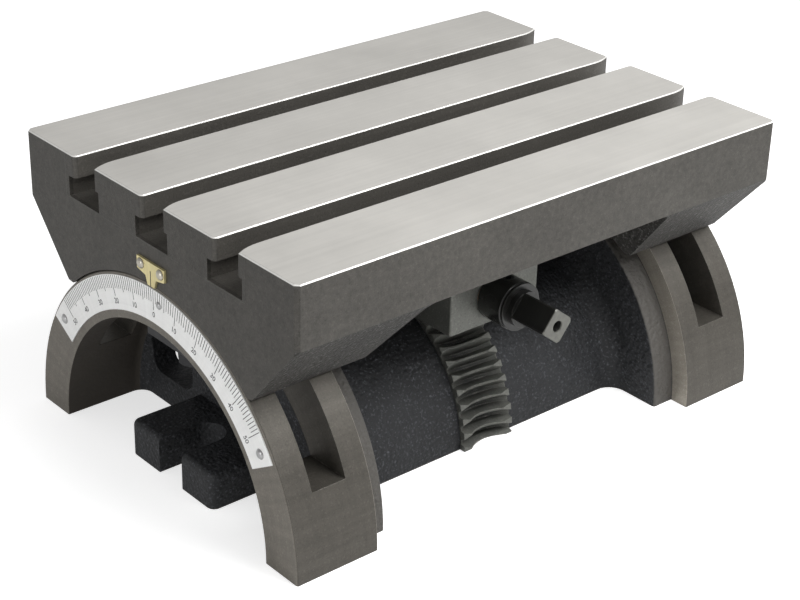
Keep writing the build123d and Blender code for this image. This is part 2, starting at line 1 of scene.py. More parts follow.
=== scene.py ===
"""Looks of a hand-driven tilting T-slot table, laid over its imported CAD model."""
import json
import math

import bmesh
import bpy
from bpy.props import FloatProperty, FloatVectorProperty, IntProperty, PointerProperty
from mathutils import Matrix, Vector


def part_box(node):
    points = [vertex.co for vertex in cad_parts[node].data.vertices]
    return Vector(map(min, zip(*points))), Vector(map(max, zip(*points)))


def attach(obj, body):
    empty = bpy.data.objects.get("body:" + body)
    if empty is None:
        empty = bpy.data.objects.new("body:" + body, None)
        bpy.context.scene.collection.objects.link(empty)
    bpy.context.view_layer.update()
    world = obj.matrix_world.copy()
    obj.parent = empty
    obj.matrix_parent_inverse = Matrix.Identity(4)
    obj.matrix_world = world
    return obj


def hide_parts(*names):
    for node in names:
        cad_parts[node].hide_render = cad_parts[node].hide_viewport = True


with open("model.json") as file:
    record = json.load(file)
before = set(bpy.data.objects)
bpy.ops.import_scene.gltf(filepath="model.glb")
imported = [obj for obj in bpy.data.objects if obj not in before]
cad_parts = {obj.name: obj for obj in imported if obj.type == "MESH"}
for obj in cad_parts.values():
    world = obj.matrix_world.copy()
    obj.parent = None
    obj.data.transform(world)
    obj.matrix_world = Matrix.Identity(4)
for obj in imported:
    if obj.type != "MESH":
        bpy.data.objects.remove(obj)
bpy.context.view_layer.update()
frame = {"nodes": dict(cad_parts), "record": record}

# Where one finish gives way to another, in metres. Ends lie along X from the middle, sides along Y,
# radii are from the tilt axis, and heights are from the base plane.

# Table casting. Its corner is where X plus Y passes the dark chamfer.
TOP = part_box("table_casting")[1].z
UNDERSIDE = TOP - 0.0264
SLOT_FLOOR = TOP - 0.0189
SLOTS_SIDE = 0.0604
TABLE_SIDE = 0.0882
TABLE_END = 0.1252
TABLE_CORNER = 0.215325
SADDLE_END = 0.126825
SADDLE_FACE = 0.126875
SEAT_RADIUS = 0.09045

# Base casting
FOOT = 0.0003
ARCH_END = 0.1264
ARCH_RADIUS = 0.08865
ARCH_INNER_ENDS = (0.0878, 0.0881)
ARCH_RIM_RADIUS = 0.0813
WINDOW_ENDS = (0.0986, 0.1151)
WINDOW_RADIUS = 0.07085
BORE_END = 0.08925
BORE_RADII = (0.06965, 0.07105)
WALL_END = 0.088
WALL_RADIUS = 0.0804

# Toothed ring and worm shaft
TOOTH_TIP_RADIUS = 0.0562
TOOTH_ROOT_RADIUS = 0.0505
RING_TOP = 0.05735
SHAFT_END_Y = -0.092525

# Grains of the casting skin in a metre, and how close two points are the same one
CAST_GRAIN = 560.0
MERGE = 1e-6

bl_info = {
    "name": "Tilting T-slot table",
    "version": (1, 0, 0),
    "blender": (4, 5, 0),
    "location": "View3D > Sidebar > Tilting table",
    "description": "Finishes, angle scale and studio for a tilting T-slot table",
    "category": "Object",
}


def loose_boxes(node):
    """Lowest and highest corner of each separate solid of a CAD node."""
    mesh = frame["nodes"][node].data
    links = list(range(len(mesh.vertices)))

    def root(index):
        while links[index] != index:
            links[index] = links[links[index]]
            index = links[index]
        return index

    same = {}
    for vertex in mesh.vertices:
        key = tuple(round(value, 7) for value in vertex.co)
        links[root(vertex.index)] = root(same.setdefault(key, vertex.index))
    for edge in mesh.edges:
        links[root(edge.vertices[0])] = root(edge.vertices[1])
    boxes = {}
    place = frame["nodes"][node].matrix_world
    for vertex in mesh.vertices:
        point = place @ vertex.co
        low, high = boxes.setdefault(root(vertex.index), (point.copy(), point.copy()))
        for axis in range(3):
            low[axis] = min(low[axis], point[axis])
            high[axis] = max(high[axis], point[axis])
    return list(boxes.values())


# Settings

def number_setting(name, description, default):
    """A plain number."""
    return FloatProperty(name=name, description=description, default=default)


def length_setting(name, description, default):
    """A length in metres."""
    return FloatProperty(name=name, description=description, default=default, unit="LENGTH")


def power_setting(name, description, default):
    """A lamp's power in watts."""
    return FloatProperty(name=name, description=description, default=default, unit="POWER")


def colour_setting(name, description, default):
    """A linear colour."""
    return FloatVectorProperty(name=name, description=description, subtype="COLOR", default=default)


class ScaleSettings(bpy.types.PropertyGroup):
    """The degree scale on the -X arch."""

    outer_radius: length_setting("Outer radius", "Where every line starts", 0.0882)
    degree_line: length_setting("Degree line", "Length of a one degree line", 0.0054)
    five_line: length_setting("Five degree line", "Length of a five degree line", 0.0066)
    ten_line: length_setting("Ten degree line", "Length of a ten degree line", 0.0086)
    line_width: length_setting("Line width", "Width of every line", 0.00028)
    line_height: length_setting("Line height", "How far the ink stands proud", 0.00003)
    reach: IntProperty(name="Reach", description="Degrees to each side of zero", default=50)
    number_radius: length_setting("Number radius", "Middle of the numbers", 0.0775)
    number_size: length_setting("Number size", "Height of the numbers", 0.0033)


class FinishSettings(bpy.types.PropertyGroup):
    """Colours of the finishes, as the lamps show them."""

    cast: colour_setting("Cast skin", "Blackened rough casting", (0.021, 0.022, 0.024))
    milled: colour_setting("Milled iron", "Milled sides of the table", (0.115, 0.108, 0.096))
    turned: colour_setting("Turned iron", "Turned faces of the arches", (0.125, 0.115, 0.099))
    ground: colour_setting("Ground iron", "Ground top of the table", (0.56, 0.545, 0.513))
    bracket: colour_setting("Bracket iron", "Machined worm bracket and toothed ring", (0.172, 0.175, 0.158))
    plate: colour_setting("Scale plate", "Satin aluminium plate", (0.95, 0.952, 0.94))
    ink: colour_setting("Ink", "Lines and numbers", (0.02, 0.02, 0.022))
    brass: colour_setting("Brass", "Index plate", (0.76, 0.67, 0.35))
    bronze: colour_setting("Bronze", "Bushes and thrust washers", (0.46, 0.29, 0.13))
    steel: colour_setting("Bright steel", "Turned bright steel", (0.52, 0.51, 0.49))
    black: colour_setting("Black steel", "Blackened, oiled steel", (0.012, 0.012, 0.011))


class StageSettings(bpy.types.PropertyGroup):
    """Floor, lamps and camera."""

    floor: colour_setting("Floor", "Colour of the floor", (0.86, 0.86, 0.86))
    floor_glow: number_setting("Floor glow", "Light that the floor adds", 0.62)
    world_light: number_setting("World light", "Strength of the world on the object", 0.42)
    top_lamp: power_setting("Top lamp", "Power of the lamp above", 3.7)
    right_lamp: power_setting("Right lamp", "Power of the lamp at the right", 2.2)
    left_lamp: power_setting("Left lamp", "Power of the lamp at the left", 1.4)
    lens: number_setting("Lens", "Focal length on a 36 mm sensor", 85.83)


# Node trees

class Tree:
    """Adds nodes to one tree and joins them."""

    def __init__(self, tree):
        self.tree = tree
        self.column = 0

    def node(self, kind, settings=None, **values):
        """A node; keyword values go to the inputs of that name, as links where they are sockets."""
        node = self.tree.nodes.new(kind)
        node.location = (200 * self.column, -60 * (self.column % 5))
        self.column += 1
        for name, value in (settings or {}).items():
            setattr(node, name, value)
        for name, value in values.items():
            self.feed(node.inputs[name.replace("_", " ")], value)
        return node

    def feed(self, socket, value):
        """Link a socket, or set a plain value."""
        if isinstance(value, bpy.types.NodeSocket):
            self.tree.links.new(value, socket)
        elif socket.type == "RGBA" and len(value) == 3:
            socket.default_value = (*value, 1.0)
        else:
            socket.default_value = value

    def maths(self, operation, *values):
        """A Math node's result."""
        node = self.node("ShaderNodeMath", {"operation": operation})
        for socket, value in zip(node.inputs, values):
            self.feed(socket, value)
        return node.outputs[0]

    def times(self, first, *others):
        """The product of two or more values."""
        for other in others:
            first = self.maths("MULTIPLY", first, other)
        return first

    def most(self, first, *others):
        """The largest of two or more values."""
        for other in others:
            first = self.maths("MAXIMUM", first, other)
        return first

    def ramp(self, value, start, end, low=0.0, high=1.0):
        """A clamped straight ramp."""
        node = self.node("ShaderNodeMapRange", Value=value)
        for name, number in (("From Min", start), ("From Max", end), ("To Min", low), ("To Max", high)):
            node.inputs[name].default_value = number
        return node.outputs["Result"]

    def fade(self, mask, low, high):
        """Low where the mask is 0 and high where it is 1."""
        return self.ramp(mask, 0.0, 1.0, low, high)

    def above(self, value, edge, soft):
        """1 above an edge and 0 below it, with a soft step."""
        return self.ramp(value, edge - soft, edge + soft)

    def below(self, value, edge, soft):
        """1 below an edge and 0 above it, with a soft step."""
        return self.ramp(value, edge + soft, edge - soft)

    def between(self, value, low, high, soft=0.00005):
        """1 where the value lies between two limits, with a soft step at each."""
        return self.times(self.above(value, low, soft), self.below(value, high, soft))

    def mix(self, factor, first, second):
        """One value or the other."""
        node = self.node("ShaderNodeMix", {"data_type": "FLOAT"})
        for index, value in ((0, factor), (2, first), (3, second)):
            self.feed(node.inputs[index], value)
        return node.outputs[0]

    def blend(self, factor, first, second):
        """One colour or the other."""
        node = self.node("ShaderNodeMix", {"data_type": "RGBA"})
        for index, value in ((0, factor), (6, first), (7, second)):
            self.feed(node.inputs[index], value)
        return node.outputs[2]

    def tint(self, colour, factor):
        """A colour multiplied by a grey value."""
        node = self.node("ShaderNodeVectorMath", {"operation": "SCALE"})
        self.feed(node.inputs[0], colour)
        self.feed(node.inputs["Scale"], factor)
        return node.outputs[0]

    def vector(self, *parts):
        """A vector from its three parts."""
        node = self.node("ShaderNodeCombineXYZ")
        for socket, value in zip(node.inputs, parts):
            self.feed(socket, value)
        return node.outputs[0]

    def noise(self, vector, scale, detail=4.0, roughness=0.5):
        """A noise value between 0 and 1."""
        node = self.node("ShaderNodeTexNoise", Vector=vector, Scale=scale, Detail=detail, Roughness=roughness)
        return node.outputs["Fac"]

    def group(self, tree, **values):
        """A copy of a node group."""
        node = self.node("ShaderNodeGroup", {"node_tree": tree})
        for name, value in values.items():
            self.feed(node.inputs[name.replace("_", " ")], value)
        return node.outputs


def group_tree(name, inputs, outputs):
    """A shader node group with sockets, and its two end nodes."""
    tree = bpy.data.node_groups.new(name, "ShaderNodeTree")
    for label, kind, value in inputs:
        socket = tree.interface.new_socket(label, in_out="INPUT", socket_type=kind)
        if value is not None:
            socket.default_value = value
    for label, kind in outputs:
        tree.interface.new_socket(label, in_out="OUTPUT", socket_type=kind)
    graph = Tree(tree)
    return graph, graph.node("NodeGroupInput").outputs, graph.node("NodeGroupOutput").inputs


def cast_skin_group():
    """Rough skin of a sand casting: grains of two sizes and slow patches."""
    graph, given, result = group_tree(
        "Cast skin",
        [("Vector", "NodeSocketVector", None), ("Grain", "NodeSocketFloat", 900.0)],
        [("Height", "NodeSocketFloat"), ("Speck", "NodeSocketFloat"), ("Patch", "NodeSocketFloat")],
    )
    coarse = graph.noise(given["Vector"], graph.times(given["Grain"], 0.55), 5.0, 0.62)
    grains = graph.node(
        "ShaderNodeTexVoronoi", {"feature": "SMOOTH_F1"},
        Vector=given["Vector"], Scale=given["Grain"], Smoothness=0.6)
    height = graph.maths("ADD", coarse, graph.times(grains.outputs["Distance"], -0.55))
    speck = graph.noise(given["Vector"], graph.times(given["Grain"], 1.7), 2.0, 0.5)
    graph.feed(result["Height"], height)
    graph.feed(result["Speck"], graph.ramp(speck, 0.56, 0.74))
    graph.feed(result["Patch"], graph.noise(given["Vector"], 28.0, 3.0, 0.6))
    return graph.tree


def tool_marks_group():
    """Fine parallel cutter or grinding marks, drawn out along one direction of the vector."""
    graph, given, result = group_tree(
        "Tool marks",
        [("Vector", "NodeSocketVector", None), ("Stretch", "NodeSocketVector", (30.0, 1500.0, 1500.0))],
        [("Height", "NodeSocketFloat"), ("Streak", "NodeSocketFloat"), ("Cloud", "NodeSocketFloat")],
    )
    drawn = graph.node("ShaderNodeVectorMath", {"operation": "MULTIPLY"})
    graph.feed(drawn.inputs[0], given["Vector"])
    graph.feed(drawn.inputs[1], given["Stretch"])
    fine = graph.noise(drawn.outputs[0], 1.0, 3.0, 0.55)
    wide = graph.noise(graph.tint(drawn.outputs[0], 0.22), 1.0, 2.0, 0.5)
    graph.feed(result["Height"], graph.maths("ADD", fine, graph.times(wide, 0.5)))
    graph.feed(result["Streak"], graph.ramp(wide, 0.3, 0.7))
    graph.feed(result["Cloud"], graph.noise(given["Vector"], 22.0, 4.0, 0.6))
    return graph.tree


def iron_grain_group():
    """Open grain of machined grey iron: dark pores and small bright flecks."""
    graph, given, result = group_tree(
        "Iron grain",
        [("Vector", "NodeSocketVector", None), ("Size", "NodeSocketFloat", 1500.0)],
        [("Height", "NodeSocketFloat"), ("Pore", "NodeSocketFloat"), ("Fleck", "NodeSocketFloat")],
    )
    grain = graph.noise(given["Vector"], given["Size"], 3.0, 0.6)
    other = graph.noise(given["Vector"], graph.times(given["Size"], 0.63), 2.0, 0.5)
    graph.feed(result["Height"], grain)
    graph.feed(result["Pore"], graph.ramp(grain, 0.47, 0.3))
    graph.feed(result["Fleck"], graph.ramp(other, 0.56, 0.72))
    return graph.tree


def edge_group():
    """1 on worn outer edges that also carry a painted glint: where the rounded normal leaves the true one."""
    graph, given, result = group_tree(
        "Worn edge and painted glint",
        [("Vector", "NodeSocketVector", None), ("Width", "NodeSocketFloat", 0.00025)],
        [("Mask", "NodeSocketFloat"), ("Normal", "NodeSocketVector")],
    )
    bevel = graph.node("ShaderNodeBevel", {"samples": 3}, Radius=given["Width"])
    true_normal = graph.node("ShaderNodeNewGeometry").outputs["True Normal"]
    match = graph.node("ShaderNodeVectorMath", {"operation": "DOT_PRODUCT"})
    graph.feed(match.inputs[0], bevel.outputs[0])
    graph.feed(match.inputs[1], true_normal)
    turned = graph.ramp(match.outputs["Value"], 0.995, 0.86)
    broken = graph.ramp(graph.noise(given["Vector"], 260.0, 4.0, 0.6), 0.32, 0.62)
    graph.feed(result["Mask"], graph.times(turned, broken))
    graph.feed(result["Normal"], bevel.outputs[0])
    return graph.tree


GROUPS = {}


def shared(name):
    """One of the shared node groups, built the first time it is asked for."""
    makers = {
        "cast": cast_skin_group, "marks": tool_marks_group, "grain": iron_grain_group, "edge": edge_group,
    }
    if name not in GROUPS:
        GROUPS[name] = makers[name]()
    return GROUPS[name]


class Finish:
    """A material, its surface node and the parts of its coordinates."""

    def __init__(self, name):
        self.material = bpy.data.materials.new(name)
        self.material.use_nodes = True
        self.graph = Tree(self.material.node_tree)
        self.surface = self.material.node_tree.nodes["Principled BSDF"]
        self.place = self.graph.node("ShaderNodeTexCoord").outputs["Object"]
        axes = self.graph.node("ShaderNodeSeparateXYZ", Vector=self.place).outputs
        self.x, self.y, self.z = axes["X"], axes["Y"], axes["Z"]

    def set(self, **values):
        """Values or links of the surface node."""
        for name, value in values.items():
            self.graph.feed(self.surface.inputs[name.replace("_", " ")], value)

    def bump(self, height, strength, distance, normal=None):
        """The surface's normal from a height."""
        node = self.graph.node("ShaderNodeBump", Strength=strength, Distance=distance, Height=height)
        if normal is not None:
            self.graph.feed(node.inputs["Normal"], normal)
        self.graph.feed(self.surface.inputs["Normal"], node.outputs[0])

    def radius(self, centre_y=0.0, centre_z=0.0):
        """Distance from a line along X, by default the tilt axis."""
        across = self.graph.maths("SUBTRACT", self.y, centre_y)
        up = self.graph.maths("SUBTRACT", self.z, centre_z)
        squares = self.graph.maths("ADD", self.graph.times(across, across), self.graph.times(up, up))
        return self.graph.maths("SQRT", squares)

    def rings(self, node, inside, outside):
        """1 in a thin ring round each solid of a CAD node, seen along X."""
        rings = []
        for low, high in loose_boxes(node):
            away = self.radius((low.y + high.y) / 2, (low.z + high.z) / 2)
            rim = (high.y - low.y) / 2
            rings.append(self.graph.between(away, rim - inside, rim + outside, 0.0001))
        return self.graph.most(*rings)

    def on_arc(self):
        """Coordinates that run round the tilt axis: X, arc angle, radius."""
        return self.graph.vector(self.x, self.graph.maths("ARCTAN2", self.y, self.z), self.radius())

    # Painted glint: the bright edge colour stands partly for bare wear and partly for the line of light along
    # the edges.
    def worn(self, colour, bare, amount, width=0.0003, where=1.0):
        """A colour that is bare on worn outer edges and brightened there as a painted glint, and the normal
        that rounds them.
        """
        edge = self.graph.group(shared("edge"), Vector=self.place, Width=width)
        return self.graph.blend(self.graph.times(edge["Mask"], where, amount), colour, bare), edge["Normal"]


def machined(finish, colour, stretch, wear, vector=None):
    """Colour, height and tool marks of one machined iron face."""
    graph = finish.graph
    marks = graph.group(shared("marks"), Vector=vector or finish.place, Stretch=stretch)
    grain = graph.group(shared("grain"), Vector=finish.place)
    shade = graph.ramp(marks["Cloud"], 0.25, 0.75, 0.86, 1.12)
    shade = graph.times(shade, graph.fade(marks["Streak"], 0.93, 1.06))
    shade = graph.maths("SUBTRACT", shade, graph.times(grain["Pore"], wear))
    shade = graph.maths("ADD", shade, graph.times(grain["Fleck"], wear))
    height = graph.maths("ADD", graph.times(marks["Height"], 0.6), grain["Height"])
    return graph.tint(colour, shade), height, marks


def cast(finish, colour, dark, light, speck_amount, speck_colour):
    """Colour of rough casting with pale specks, and its skin's masks."""
    graph = finish.graph
    skin = graph.group(shared("cast"), Vector=finish.place, Grain=CAST_GRAIN)
    rough = graph.tint(colour, graph.ramp(skin["Patch"], 0.3, 0.7, dark, light))
    return graph.blend(graph.times(skin["Speck"], speck_amount), rough, speck_colour), skin


# Materials

def base_iron(colours):
    """Rough black casting with turned outer faces."""
    finish = Finish("Base casting iron")
    graph = finish.graph
    bore_brown, wall_grey, worn_glint_grey = (0.052, 0.044, 0.035), (0.12, 0.112, 0.1), (0.42, 0.4, 0.36)
    colour, skin = cast(finish, colours.cast, 0.65, 1.3, 0.7, (0.12, 0.125, 0.14))
    stretch = (1500.0, 14.0, 1500.0)
    turned_colour, turned_height, _ = machined(finish, colours.turned, stretch, 0.24, finish.on_arc())
    radius = finish.radius()
    along = graph.maths("ABSOLUTE", finish.x)

    outer_end = graph.above(along, ARCH_END, 0.0001)
    outer_band = graph.above(radius, ARCH_RADIUS, 0.00015)
    inner_face = graph.times(
        graph.between(along, *ARCH_INNER_ENDS), graph.above(radius, ARCH_RIM_RADIUS, 0.0001))
    window = graph.times(graph.between(along, *WINDOW_ENDS), graph.above(radius, WINDOW_RADIUS, 0.00015))
    foot = graph.below(finish.z, FOOT, 0.0001)
    turned = graph.most(outer_end, outer_band, inner_face, window, foot)
    bore = graph.times(graph.above(along, BORE_END, 0.00025), graph.between(radius, *BORE_RADII, 0.00015))
    wall = graph.times(graph.below(along, WALL_END, 0.0001), graph.above(radius, WALL_RADIUS, 0.0002))

    brown = graph.tint(bore_brown, graph.ramp(skin["Patch"], 0.3, 0.7, 0.85, 1.15))
    colour = graph.blend(bore, colour, brown)
    colour = graph.blend(graph.times(wall, 0.75), colour, wall_grey)
    # Painted light: the turned end faces and inner faces of the arches are tinted brighter, standing in for
    # the light that falls on them.
    painted_light_lift = graph.maths("ADD", graph.times(outer_end, 0.46), graph.times(inner_face, 1.4))
    turned_colour = graph.tint(turned_colour, graph.ramp(painted_light_lift, 0.0, 1.4, 0.8, 2.9))
    colour = graph.blend(turned, colour, turned_colour)
    # Edges of the turned faces: bare wear and a painted glint.
    colour, normal = finish.worn(colour, worn_glint_grey, 0.5, where=turned)
    rough_height = graph.times(skin["Height"], graph.fade(bore, 1.0, 0.2))
    height = graph.mix(turned, rough_height, graph.times(turned_height, 0.1))
    metal, rough = graph.fade(turned, 0.15, 0.55), graph.fade(turned, 0.62, 0.5)
    finish.set(Base_Color=colour, Metallic=metal, Roughness=rough)
    finish.bump(height, 0.9, 0.0009, normal)
    return finish.material


def table_iron(colours):
    """Milled sides, ground top, cutter-marked slots and a rough underside."""
    finish = Finish("Table casting iron")
    graph = finish.graph
    # The rim colour is a painted highlight for the narrow chamfer round the ground top.
    worn_glint_grey, corner_dark, painted_highlight_rim_colour = (0.4, 0.385, 0.36), (0.03, 0.028, 0.026), (0.84, 0.83, 0.8)
    milled_colour, milled_height, _ = machined(finish, colours.milled, (260.0, 260.0, 500.0), 0.3)
    slot_colour, slot_height, _ = machined(finish, colours.milled, (20.0, 2200.0, 2200.0), 0.3)
    marks = graph.group(shared("marks"), Vector=finish.place, Stretch=(16.0, 2600.0, 900.0))
    cloud = graph.ramp(marks["Cloud"], 0.3, 0.72, 0.9, 1.06)
    ground_colour = graph.tint(colours.ground, graph.times(cloud, graph.fade(marks["Streak"], 0.97, 1.03)))
    cast_colour, skin = cast(finish, colours.milled, 0.24, 0.42, 0.65, (0.26, 0.255, 0.245))
    across = graph.maths("ABSOLUTE", finish.y)
    along = graph.maths("ABSOLUTE", finish.x)

    top = graph.above(finish.z, TOP - 0.00004, 0.00002)
    rim = graph.maths("SUBTRACT", graph.above(finish.z, TOP - 0.00049, 0.00003), top)
    corner = graph.times(
        graph.above(graph.maths("ADD", along, across), TABLE_CORNER, 0.000025),
        graph.above(finish.z, UNDERSIDE - 0.00005, 0.00005))
    side = graph.most(graph.above(along, TABLE_END, 0.0001), graph.above(across, TABLE_SIDE, 0.0001))
    high = graph.above(finish.z, UNDERSIDE, 0.00005)
    side = graph.times(side, graph.most(high, graph.above(along, SADDLE_FACE, 0.000025)))
    seat = graph.times(
        graph.below(finish.radius(), SEAT_RADIUS, 0.00015),
        graph.below(finish.z, UNDERSIDE - 0.00075, 0.00025))
    slot = graph.times(graph.above(finish.z, SLOT_FLOOR, 0.0001), graph.below(across, SLOTS_SIDE, 0.0001))
    face = graph.most(side, seat)
    end = graph.above(along, SADDLE_END, 0.000025)
    cut = graph.most(slot, face, top)

    mottle = graph.ramp(graph.noise(finish.place, 420.0, 5.0, 0.68), 0.3, 0.7, 0.78, 1.22)
    milled_colour = graph.tint(milled_colour, graph.times(mottle, graph.fade(end, 0.7, 0.57)))
    colour = graph.blend(slot, cast_colour, slot_colour)
    colour = graph.blend(face, colour, milled_colour)
    # Edges of the milled faces: bare wear and a painted glint.
    colour, normal = finish.worn(colour, worn_glint_grey, 0.35, 0.00025, face)
    colour = graph.blend(graph.times(corner, 0.5), colour, corner_dark)
    colour = graph.blend(top, colour, ground_colour)
    # Painted highlight: the chamfer round the top is painted near white, standing in for the bright line of
    # light along the top edges.
    colour = graph.blend(rim, colour, painted_highlight_rim_colour)
    fine = graph.times(graph.maths("ADD", milled_height, graph.times(slot_height, slot)), 0.12)
    height = graph.mix(cut, skin["Height"], graph.times(fine, graph.fade(top, 0.8, 0.04)))
    rough = graph.maths("SUBTRACT", graph.fade(cut, 0.65, 0.5), graph.times(top, 0.06))
    metal = graph.maths("SUBTRACT", graph.fade(cut, 0.15, 0.45), graph.times(top, 0.2))
    finish.set(Base_Color=colour, Metallic=metal, Roughness=rough)
    finish.bump(height, 0.9, 0.0008, normal)
    return finish.material


def machined_iron(colours):
    """Bracket, toothed ring and clamp shoes: light machined iron, with painted shade in the gullets."""
    finish = Finish("Machined iron")
    graph = finish.graph
    colour, height, marks = machined(finish, colours.bracket, (700.0, 90.0, 700.0), 0.32)
    # Painted shade: the ring darkens from tooth tip to root, standing in for the shade deep in the gullets.
    painted_gullet_shade = graph.ramp(finish.radius(), TOOTH_TIP_RADIUS, TOOTH_ROOT_RADIUS)
    near_ring = graph.below(finish.z, RING_TOP, 0.00015)
    colour = graph.tint(colour, graph.fade(graph.times(painted_gullet_shade, near_ring), 1.0, 0.14))
    # Edges: bare wear and a painted glint.
    colour, normal = finish.worn(colour, (0.45, 0.44, 0.4), 0.6)
    finish.set(Base_Color=colour, Metallic=0.5, Roughness=graph.fade(marks["Streak"], 0.44, 0.58))
    finish.bump(height, 0.35, 0.0002, normal)
    return finish.material


def steel(name, colour, roughness, metallic, stretch, worn_glint_colour, wear=0.5):
    """Turned metal with fine marks, and edges brightened for wear and as a painted glint."""
    finish = Finish(name)
    graph = finish.graph
    marks = graph.group(shared("marks"), Vector=finish.place, Stretch=stretch)
    cloud = graph.ramp(marks["Cloud"], 0.25, 0.75, 0.8, 1.2)
    shade = graph.times(cloud, graph.fade(marks["Streak"], 0.88, 1.1))
    # Edges: bare wear and a painted glint.
    tone, normal = finish.worn(graph.tint(colour, shade), worn_glint_colour, wear, 0.0004)
    rough = graph.ramp(marks["Cloud"], 0.3, 0.7, roughness - 0.06, roughness + 0.08)
    finish.set(Base_Color=tone, Metallic=metallic, Roughness=rough)
    finish.bump(marks["Height"], 0.18, 0.0001, normal)
    return finish


def oiled_steel(colours):
    """Blackened, oiled shaft and collar; the crank end's face is bare."""
    # The grey is bare wear and a painted glint on the edges.
    stretch, worn_glint_grey = (200.0, 3000.0, 200.0), (0.16, 0.155, 0.14)
    finish = steel("Oiled black steel", colours.black, 0.26, 0.35, stretch, worn_glint_grey, 0.45)
    graph = finish.graph
    end = graph.below(finish.y, SHAFT_END_Y, 0.000075)
    oiled = finish.surface.inputs["Base Color"].links[0].from_socket
    shade = graph.ramp(graph.noise(finish.place, 420.0, 4.0, 0.6), 0.3, 0.7, 0.75, 1.15)
    bare = graph.tint((0.12, 0.12, 0.104), shade)
    finish.set(Base_Color=graph.blend(end, oiled, bare), Coat_Weight=0.35, Coat_Roughness=0.18)
    return finish.material


def scale_aluminium(colours):
    """Satin plate, brushed along its length."""
    finish = Finish("Satin aluminium plate")
    graph = finish.graph
    marks = graph.group(shared("marks"), Vector=finish.on_arc(), Stretch=(100.0, 8.0, 5200.0))
    cloud = graph.ramp(marks["Cloud"], 0.3, 0.7, 0.95, 1.03)
    shade = graph.times(cloud, graph.fade(marks["Streak"], 0.97, 1.02))
    # Edges: bare wear and a painted glint.
    colour = finish.worn(graph.tint(colours.plate, shade), (0.35, 0.34, 0.32), 0.5)[0]
    # Painted shade: a dark ring on the plate round each rivet head, where the head shades the plate.
    painted_ring_shade = graph.times(finish.rings("scale_rivets", 0.0003, 0.00016), 0.75)
    colour = graph.blend(painted_ring_shade, colour, (0.12, 0.12, 0.115))
    finish.set(Base_Color=colour, Metallic=0.1, Roughness=0.42)
    finish.bump(marks["Height"], 0.1, 0.00008)
    return finish.material


def pointer_brass(colours):
    """Bright brass with a little tarnish."""
    finish = Finish("Index brass")
    graph = finish.graph
    tarnish = graph.ramp(graph.noise(finish.place, 330.0, 5.0, 0.65), 0.42, 0.75)
    marks = graph.group(shared("marks"), Vector=finish.place, Stretch=(900.0, 3800.0, 260.0))
    colour = graph.tint(colours.brass, graph.fade(marks["Streak"], 0.92, 1.08))
    colour = graph.blend(graph.times(tarnish, 0.22), colour, (0.5, 0.37, 0.17))
    # Edges: bare wear and a painted glint.
    colour, normal = finish.worn(colour, (0.9, 0.78, 0.5), 0.5)
    # Painted shade: a dark ring on the index round each screw head, where the head shades the brass.
    painted_ring_shade = graph.times(finish.rings("pointer_screws", 0.0003, 0.00014), 0.7)
    colour = graph.blend(painted_ring_shade, colour, (0.16, 0.12, 0.06))
    finish.set(Base_Color=colour, Metallic=0.5, Roughness=graph.fade(tarnish, 0.32, 0.45))
    finish.bump(marks["Height"], 0.12, 0.0001, normal)
    return finish.material


def printed_ink(colours):
    """Dark ink, a little worn."""
    finish = Finish("Scale ink")
    graph = finish.graph
    faded = graph.ramp(graph.noise(finish.place, 1400.0, 3.0, 0.6), 0.55, 0.8, 1.0, 2.6)
    finish.set(Base_Color=graph.tint(colours.ink, faded), Roughness=0.6)
    finish.bump(graph.noise(finish.place, 4000.0, 2.0, 0.5), 0.1, 0.00005)
    return finish.material


FINISHES = {}


def make_finishes(colours):
    """Every finish, by the name of the record's material slot."""
    fine, round_shaft = (1500.0, 1500.0, 300.0), (300.0, 2500.0, 300.0)
    for maker in (base_iron, table_iron, machined_iron, scale_aluminium, pointer_brass, oiled_steel):
        FINISHES[maker.__name__] = maker(colours)
    FINISHES["ink"] = printed_ink(colours)
    # The last column is the edge colour: bare wear and a painted glint.
    for slot, name, colour, roughness, metallic, stretch, worn_glint_colour in (
        ("rivet_aluminium", "Rivet aluminium", (0.5, 0.5, 0.5), 0.34, 0.85, fine, (0.75, 0.75, 0.75)),
        ("bright_screws", "Bright screws", (0.55, 0.52, 0.45), 0.3, 0.85, fine, (0.8, 0.78, 0.7)),
        ("black_steel", "Black oxide steel", (0.03, 0.03, 0.032), 0.42, 0.5, fine, (0.16, 0.16, 0.16)),
        ("bright_steel", "Bright steel", colours.steel, 0.32, 0.85, round_shaft, (0.8, 0.79, 0.77)),
        ("bronze", "Turned bronze", colours.bronze, 0.36, 0.75, round_shaft, (0.75, 0.52, 0.28)),
    ):
        FINISHES[slot] = steel(name, colour, roughness, metallic, stretch, worn_glint_colour).material


def material_slots():
    """The record's material slot of each CAD node."""
    return {part["node"]: part["material_slot"] for part in frame["record"]["subparts"]}


def dress(*names):
    """Give CAD nodes the finish of their material slot."""
    slots = material_slots()
    for name in names:
        mesh = frame["nodes"][name].data
        mesh.materials.clear()
        mesh.materials.append(FINISHES[slots[name]])


def new_piece(name, mesh, material):
    """An object at the origin with its place in its mesh."""
    piece = bpy.data.objects.new(name, mesh)
    bpy.context.scene.collection.objects.link(piece)
    if material is not None:
        mesh.materials.clear()
        mesh.materials.append(material)
    return piece


# Geometry Nodes

